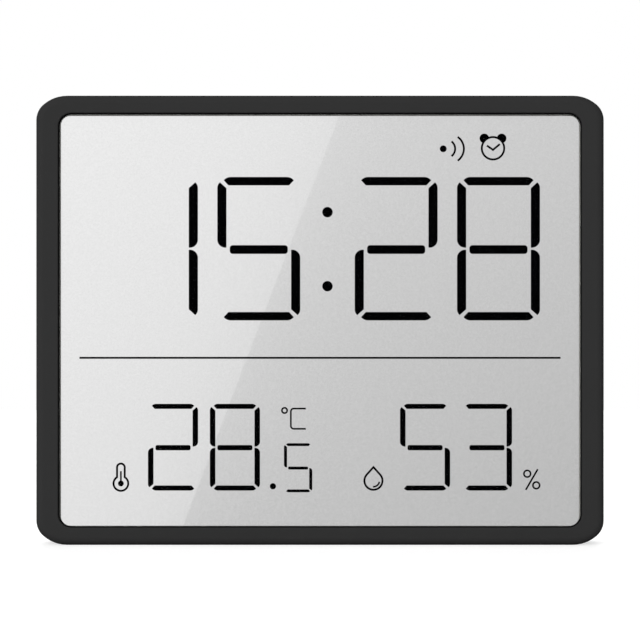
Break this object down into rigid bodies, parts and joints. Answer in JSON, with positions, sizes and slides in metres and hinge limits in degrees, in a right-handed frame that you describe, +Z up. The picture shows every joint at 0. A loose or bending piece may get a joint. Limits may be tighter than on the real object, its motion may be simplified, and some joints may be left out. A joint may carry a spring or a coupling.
{
  "type": "thermometer hygrometer clock",
  "caption": "Flat rectangular digital clock with a large reflective display for time, temperature and humidity, a fold-out stand, a wall keyhole and a battery door.",
  "frame": {"origin": "middle of the case's width and depth, on the surface that it stands on", "axes": "+X along the width, to the right as seen from the front; +Y to the back, away from the display; +Z up"},
  "size_m": [0.144, 0.0186, 0.114],
  "materials": {
    "case_plastic": "fine matt texture",
    "button_plastic": "matt",
    "lens": "polished clear acrylic",
    "display_glass": "polished",
    "polariser": "smooth film",
    "reflector": "fine grained silver film",
    "figures": "liquid crystal, switched dark",
    "seal": "matt",
    "carrier_plastic": "satin",
    "board": "green solder resist",
    "resin": "smooth",
    "component": "satin",
    "bead": "smooth",
    "switch": "satin",
    "brass": "plain",
    "nickel": "nickel plated",
    "screw_steel": "blackened",
    "lead": "insulated wire",
    "cell": "printed sleeve"
  },
  "bodies": {
    "case": {"alarm_sign": "figures", "battery_cells": "cell", "battery_leads": "lead", "board_screws": "screw_steel", "buzzer_leads": "lead", "case_screws": "screw_steel", "celsius_sign": "figures", "chip_resistors": "resin", "controller_chip": "resin", "display_carrier": "carrier_plastic", "display_lens": "lens", "display_seal": "seal", "dividing_line": "figures", "drop_sign": "figures", "electrolytic_capacitor": "resin", "front_frame": "case_plastic", "front_glass": "display_glass", "front_polariser": "polariser", "humidity_digits": "figures", "humidity_sensor": "component", "lens_gasket": "seal", "link_contact": "nickel", "main_board": "board", "negative_contact": "nickel", "percent_sign": "figures", "piezo_ceramic": "component", "piezo_disc": "brass", "positive_contact": "nickel", "rear_case": "case_plastic", "rear_glass": "display_glass", "reflector": "reflector", "sound_sign": "figures", "stand_pins": "screw_steel", "switch_bodies": "switch", "temperature_digits": "figures", "thermistor": "bead", "thermometer_sign": "figures", "time_colon": "figures", "time_digits": "figures", "watch_crystal": "nickel", "zebra_strip": "seal"},
    "stand": {"stand_leg": "case_plastic", "stand_foot_pads": "seal"},
    "battery_cover": {"battery_cover": "case_plastic"},
    "button_1": {"button_1": "button_plastic", "switch_plunger_1": "switch"},
    "button_2": {"button_2": "button_plastic", "switch_plunger_2": "switch"},
    "button_3": {"button_3": "button_plastic", "switch_plunger_3": "switch"},
    "button_4": {"button_4": "button_plastic", "switch_plunger_4": "switch"}
  },
  "joints": [
    {"name": "stand_hinge", "type": "hinge", "parent": "case", "child": "stand", "pos_m": [0, 0.00725, 0.0604], "axis": [1, 0, 0], "range_deg": [0, 32]},
    {"name": "battery_cover_hinge", "type": "hinge", "parent": "case", "child": "battery_cover", "pos_m": [0, 0.00925, 0.0955], "axis": [1, 0, 0], "range_deg": [0, 75]},
    {"name": "button_1_press", "type": "slide", "parent": "case", "child": "button_1", "axis": [0, -1, 0], "range_m": [0, 0.0006], "stiffness_N_per_m": 600},
    {"name": "button_2_press", "type": "slide", "parent": "case", "child": "button_2", "axis": [0, -1, 0], "range_m": [0, 0.0006], "stiffness_N_per_m": 600},
    {"name": "button_3_press", "type": "slide", "parent": "case", "child": "button_3", "axis": [0, -1, 0], "range_m": [0, 0.0006], "stiffness_N_per_m": 600},
    {"name": "button_4_press", "type": "slide", "parent": "case", "child": "button_4", "axis": [0, -1, 0], "range_m": [0, 0.0006], "stiffness_N_per_m": 600}
  ]
}
